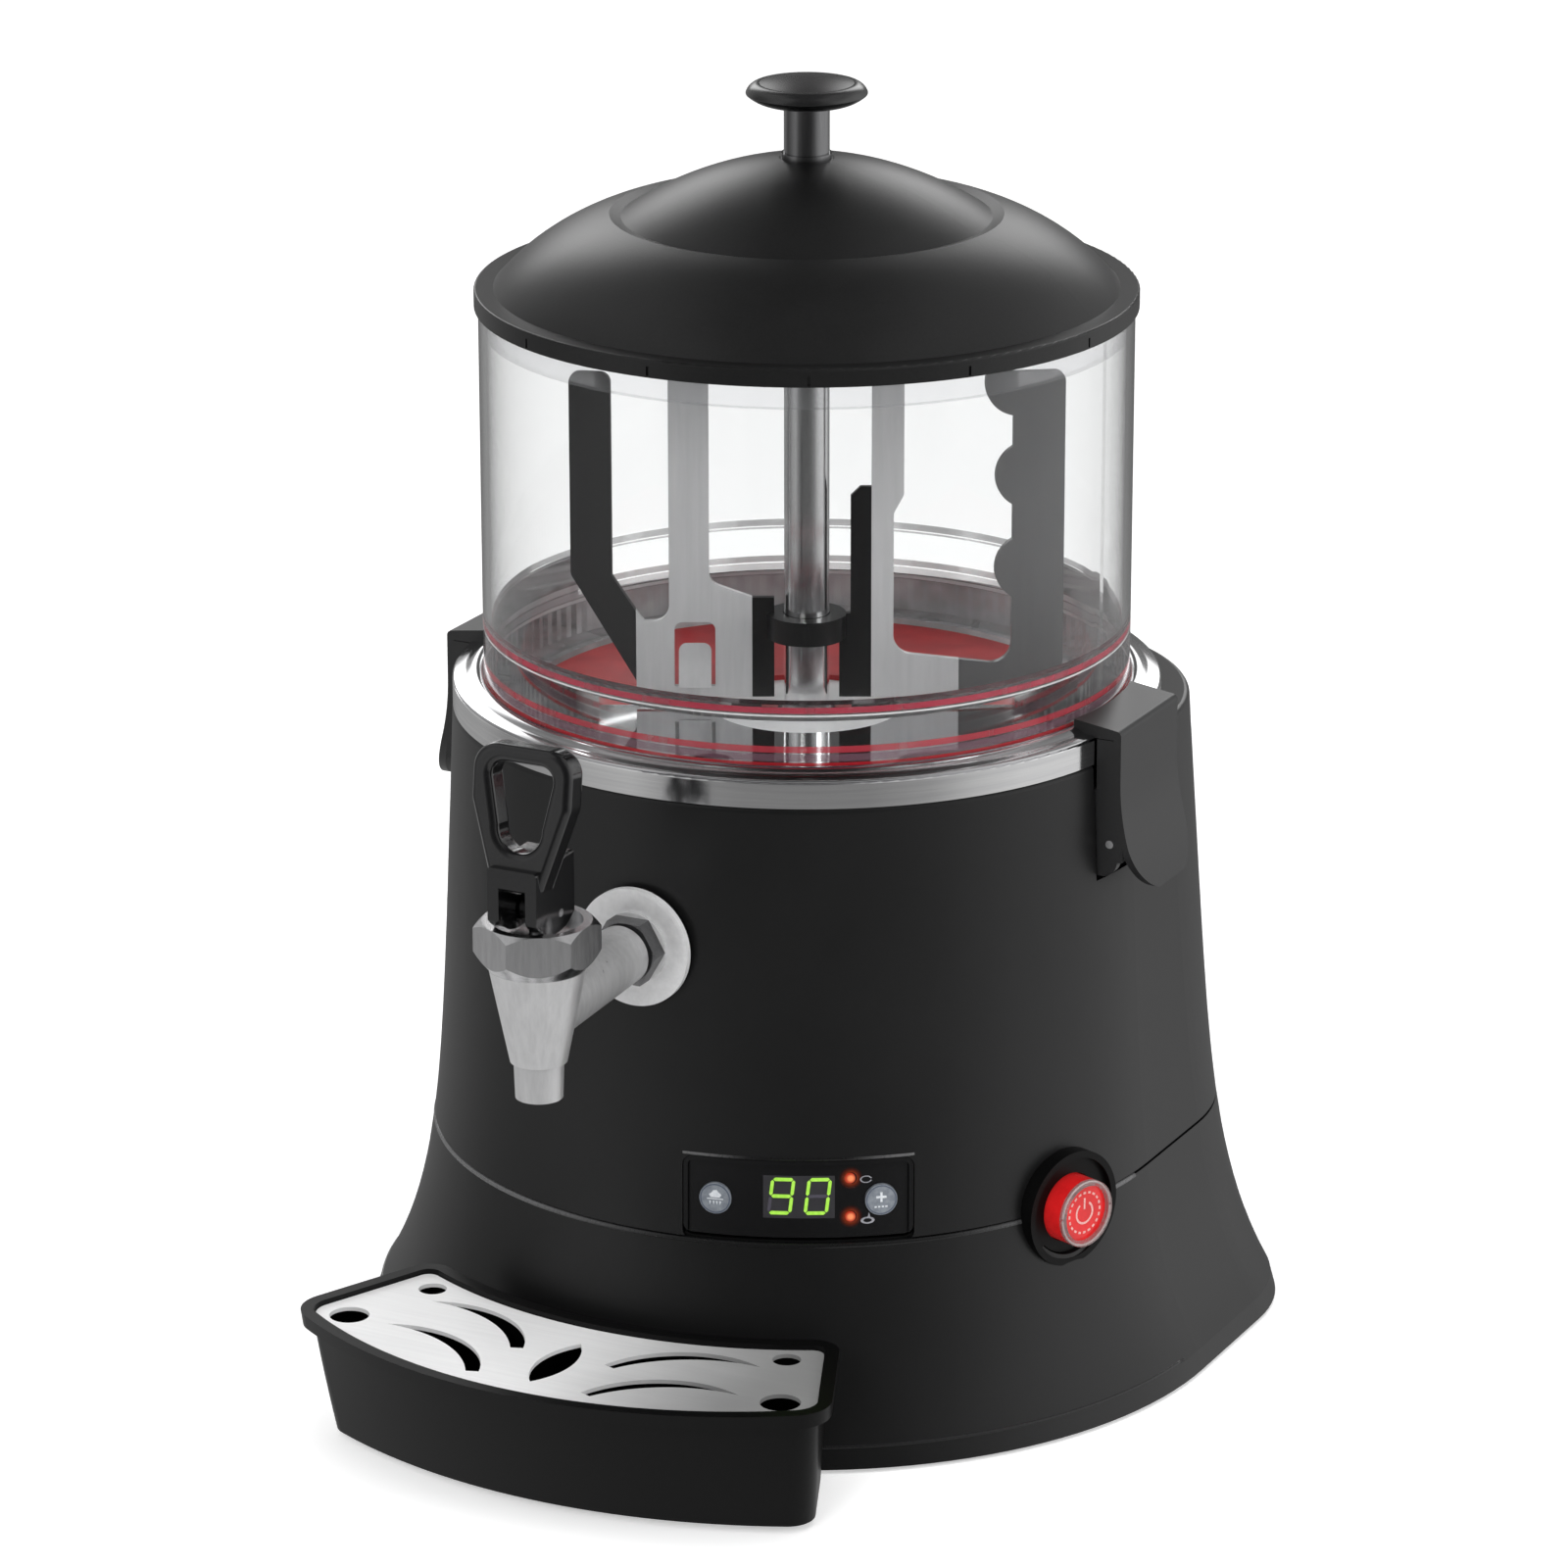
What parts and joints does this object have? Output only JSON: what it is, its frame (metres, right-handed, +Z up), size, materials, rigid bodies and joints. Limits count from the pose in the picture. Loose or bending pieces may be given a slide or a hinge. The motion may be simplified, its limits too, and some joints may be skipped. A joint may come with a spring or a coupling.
{
  "type": "hot chocolate dispenser machine",
  "caption": "Countertop hot drink dispenser: clear round bowl with a turning mixer on a black heated base, domed lid, lever tap, drip tray, side latches, display and lit power button.",
  "frame": {"origin": "on the table, on the vertical axis of the round bowl", "axes": "+Z up, -Y to the front where the tap and drip tray are, +X to the object's left-hand side as it faces forward, which is the viewer's right"},
  "size_m": [0.3266, 0.366, 0.47],
  "materials": {
    "shell": "fine matte black moulded plastic",
    "lid_black": "fine textured black plastic",
    "latch_black": "smooth satin black plastic",
    "handle_black": "glossy black plastic",
    "polished_steel": "polished stainless steel",
    "satin_steel": "brushed stainless steel",
    "clear_bowl": "clear polycarbonate",
    "red_silicone": "red silicone rubber",
    "black_rubber": "black rubber",
    "mixer_grey": "dark grey satin plastic",
    "panel_black": "glossy black plastic",
    "display_glass": "smoked window",
    "digit_green": "lit green segments",
    "lamp_orange": "lit orange lamp",
    "button_silver": "satin silver button face",
    "power_red": "translucent red plastic",
    "power_clear": "clear plastic rim",
    "zinc_steel": "plain zinc-plated steel",
    "motor_grey": "painted steel can",
    "cast_alloy": "die-cast alloy",
    "board_green": "green circuit board",
    "bush_plastic": "natural acetal",
    "knob_black": "satin black plastic",
    "stem_dark": "dark polished metal"
  },
  "bodies": {
    "root": {"base_shell": "shell", "upper_shell": "shell", "bottom_plate": "zinc_steel", "feet": "black_rubber", "base_screws": "zinc_steel", "power_inlet": "panel_black", "inlet_pins": "zinc_steel", "bowl_base": "polished_steel", "water_tank": "satin_steel", "heating_element": "satin_steel", "temperature_probe": "zinc_steel", "standpipe": "polished_steel", "shaft_bushes": "bush_plastic", "outlet_elbow": "satin_steel", "bowl_wall": "clear_bowl", "bowl_gasket": "red_silicone", "floor_seal": "red_silicone", "gearbox": "cast_alloy", "motor": "motor_grey", "motor_bracket": "zinc_steel", "motor_standoffs": "zinc_steel", "tap_body": "satin_steel", "tap_shank": "zinc_steel", "tap_gasket": "black_rubber", "tap_flange": "satin_steel", "tap_nut": "polished_steel", "tap_lock_nut": "zinc_steel", "tap_bonnet": "polished_steel", "latch_brackets": "zinc_steel", "latch_pins": "zinc_steel", "panel_bezel": "panel_black", "display_window": "display_glass", "display_digits": "digit_green", "panel_lamps": "lamp_orange", "control_board": "board_green", "switch_bezel": "black_rubber", "switch_body": "panel_black", "power_board": "board_green", "board_posts": "bush_plastic"},
    "lid": {"lid_shell": "lid_black", "lid_ring": "lid_black", "lid_stem": "stem_dark", "lid_knob": "knob_black", "knob_screw": "zinc_steel"},
    "mixer": {"drive_shaft": "satin_steel", "mixer_paddle": "mixer_grey", "mixer_cap": "mixer_grey"},
    "tap_valve": {"tap_stem": "satin_steel", "tap_seat": "black_rubber", "tap_pin": "zinc_steel"},
    "tap_lever": {"tap_handle": "handle_black"},
    "right_latch": {"right_latch": "latch_black"},
    "left_latch": {"left_latch": "latch_black"},
    "tray": {"drip_tray": "latch_black"},
    "grille": {"drip_grille": "satin_steel"},
    "power_button": {"power_button": "power_red", "power_lens": "power_clear"},
    "left_button": {"left_button": "button_silver"},
    "right_button": {"right_button": "button_silver"}
  },
  "joints": [
    {"name": "lid_lift", "type": "slide", "parent": "root", "child": "lid", "axis": [0, 0, 1], "range_m": [0, 0.16]},
    {"name": "mixer_spin", "type": "hinge", "parent": "root", "child": "mixer", "pos_m": [0, 0, 0.3], "axis": [0, 0, 1], "continuous": true},
    {"name": "tap_valve_lift", "type": "slide", "parent": "root", "child": "tap_valve", "axis": [0, 0, 1], "range_m": [0, 0.0035]},
    {"name": "tap_lever_tilt", "type": "hinge", "parent": "tap_valve", "child": "tap_lever", "pos_m": [0, -0.206, 0.221], "axis": [1, 0, 0], "range_deg": [0, 16], "stiffness_Nm_per_rad": 0.35, "springref_deg": -4.01},
    {"name": "right_latch_swing", "type": "hinge", "parent": "root", "child": "right_latch", "pos_m": [0.1335, 0, 0.209], "axis": [0, 1, 0], "range_deg": [0, 30]},
    {"name": "left_latch_swing", "type": "hinge", "parent": "root", "child": "left_latch", "pos_m": [-0.1335, 0, 0.209], "axis": [0, -1, 0], "range_deg": [0, 30]},
    {"name": "tray_slide", "type": "slide", "parent": "root", "child": "tray", "axis": [0, -1, 0], "range_m": [0, 0.06]},
    {"name": "grille_lift", "type": "slide", "parent": "tray", "child": "grille", "axis": [0, 0, 1], "range_m": [0, 0.05]},
    {"name": "power_press", "type": "slide", "parent": "root", "child": "power_button", "axis": [-0.9336, 0.3584, 0], "range_m": [0, 0.002], "stiffness_N_per_m": 900, "springref_m": -0.001},
    {"name": "left_button_press", "type": "slide", "parent": "root", "child": "left_button", "axis": [-0.2224, 0.9749, 0], "range_m": [0, 0.0006], "stiffness_N_per_m": 1200, "springref_m": -0.0004},
    {"name": "right_button_press", "type": "slide", "parent": "root", "child": "right_button", "axis": [-0.6136, 0.7896, 0], "range_m": [0, 0.0006], "stiffness_N_per_m": 1200, "springref_m": -0.0004}
  ],
  "couplings": [
    {"joint": "tap_lever_tilt", "follows": "tap_valve_lift", "rad_per_m": 79.78}
  ]
}
